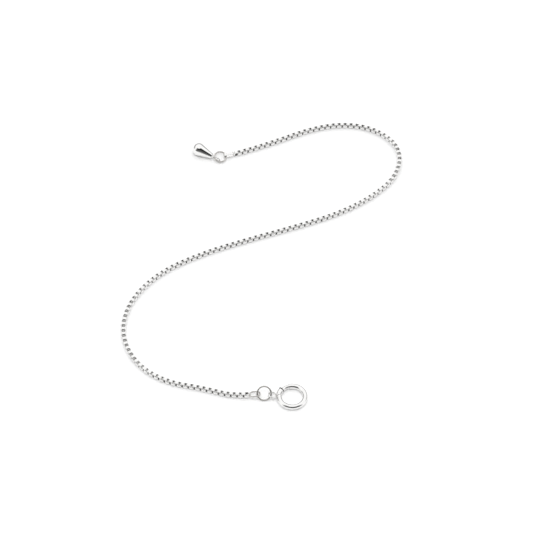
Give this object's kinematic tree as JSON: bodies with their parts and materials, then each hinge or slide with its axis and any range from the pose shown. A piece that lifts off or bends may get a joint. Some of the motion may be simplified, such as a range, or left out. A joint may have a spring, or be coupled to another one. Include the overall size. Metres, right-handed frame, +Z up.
{
  "type": "chain anklet",
  "caption": "Slim silver anklet of rounded box chain lying unfastened in an S, with a solid teardrop on a jump ring at one end and a spring ring clasp at the other.",
  "frame": {"origin": "on the surface that the anklet lies on, under the middle of its box", "axes": "+Z up from the surface, +Y along the S towards its far bend and the drop, +X to the right when looking along +Y"},
  "size_m": [0.0838, 0.1079, 0.004],
  "materials": {
    "chain_silver": "sterling silver strip links, tumble polished",
    "fittings_silver": "sterling silver wire and strap, polished, soldered joints",
    "drop_silver": "solid sterling silver, mirror polished",
    "clasp_silver": "sterling silver tube and bolt, mirror polished"
  },
  "bodies": {
    "root": {"box_chain": "chain_silver", "chain_end_tag": "fittings_silver", "drop_jump_ring": "fittings_silver", "teardrop": "drop_silver", "chain_end_loop": "fittings_silver", "clasp_jump_ring": "fittings_silver", "spring_ring": "clasp_silver"},
    "bolt": {"spring_bolt": "clasp_silver"}
  },
  "joints": [
    {"name": "bolt_travel", "type": "hinge", "parent": "root", "child": "bolt", "pos_m": [0.00814, -0.04945, 0.00088], "axis": [0, 0, -1], "range_deg": [0, 38], "stiffness_Nm_per_rad": 0.0085, "springref_deg": -17.19}
  ]
}
